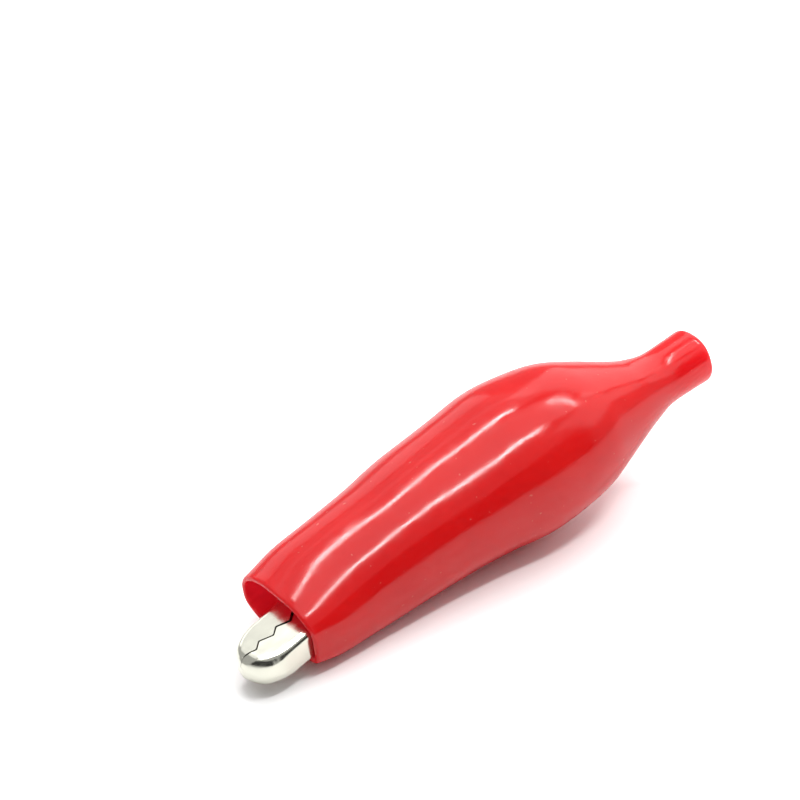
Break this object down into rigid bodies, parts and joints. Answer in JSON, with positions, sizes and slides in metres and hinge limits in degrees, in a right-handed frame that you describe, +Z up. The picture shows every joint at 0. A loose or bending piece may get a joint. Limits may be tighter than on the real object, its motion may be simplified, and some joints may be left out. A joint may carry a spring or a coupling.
{
  "type": "insulated alligator clip",
  "caption": "Toothed spring clip with a sprung jaw and thumb lever, inside a soft slip-over boot with a wire entry at its neck.",
  "frame": {"origin": "centre of the wire entry, at the rear face of the boot's neck", "axes": "+X along the clip, from the wire entry to the jaw tips; +Z up along the pivot, as the clip lies on its side; +Y towards the base jaw"},
  "size_m": [0.0575, 0.0161, 0.0149],
  "materials": {
    "soft_vinyl": "glossy soft vinyl",
    "nickel_plate": "bright nickel plate",
    "rivet_steel": "nickel plate",
    "spring_steel": "drawn wire",
    "screw_steel": "zinc plate"
  },
  "bodies": {
    "clip_base": {"base_jaw": "nickel_plate", "pivot_rivet": "rivet_steel", "torsion_spring": "spring_steel"},
    "lever": {"lever_jaw": "nickel_plate"},
    "sleeve": {"boot": "soft_vinyl"},
    "screw": {"clamp_screw": "screw_steel"}
  },
  "joints": [
    {"name": "jaw_pivot", "type": "hinge", "parent": "clip_base", "child": "lever", "pos_m": [0.036, -0.00105, 0], "axis": [0, 0, -1], "range_deg": [0, 14], "stiffness_Nm_per_rad": 0.1, "springref_deg": -20.05, "deforming": ["torsion_spring", "boot"]},
    {"name": "boot_slide", "type": "slide", "parent": "clip_base", "child": "sleeve", "axis": [-1, 0, 0], "range_m": [0, 0.042], "deforming": ["boot"]},
    {"name": "screw_turn", "type": "hinge", "parent": "clip_base", "child": "screw", "pos_m": [0.0155, 0, 0], "axis": [0, 1, 0], "range_deg": [-630, 0]}
  ]
}
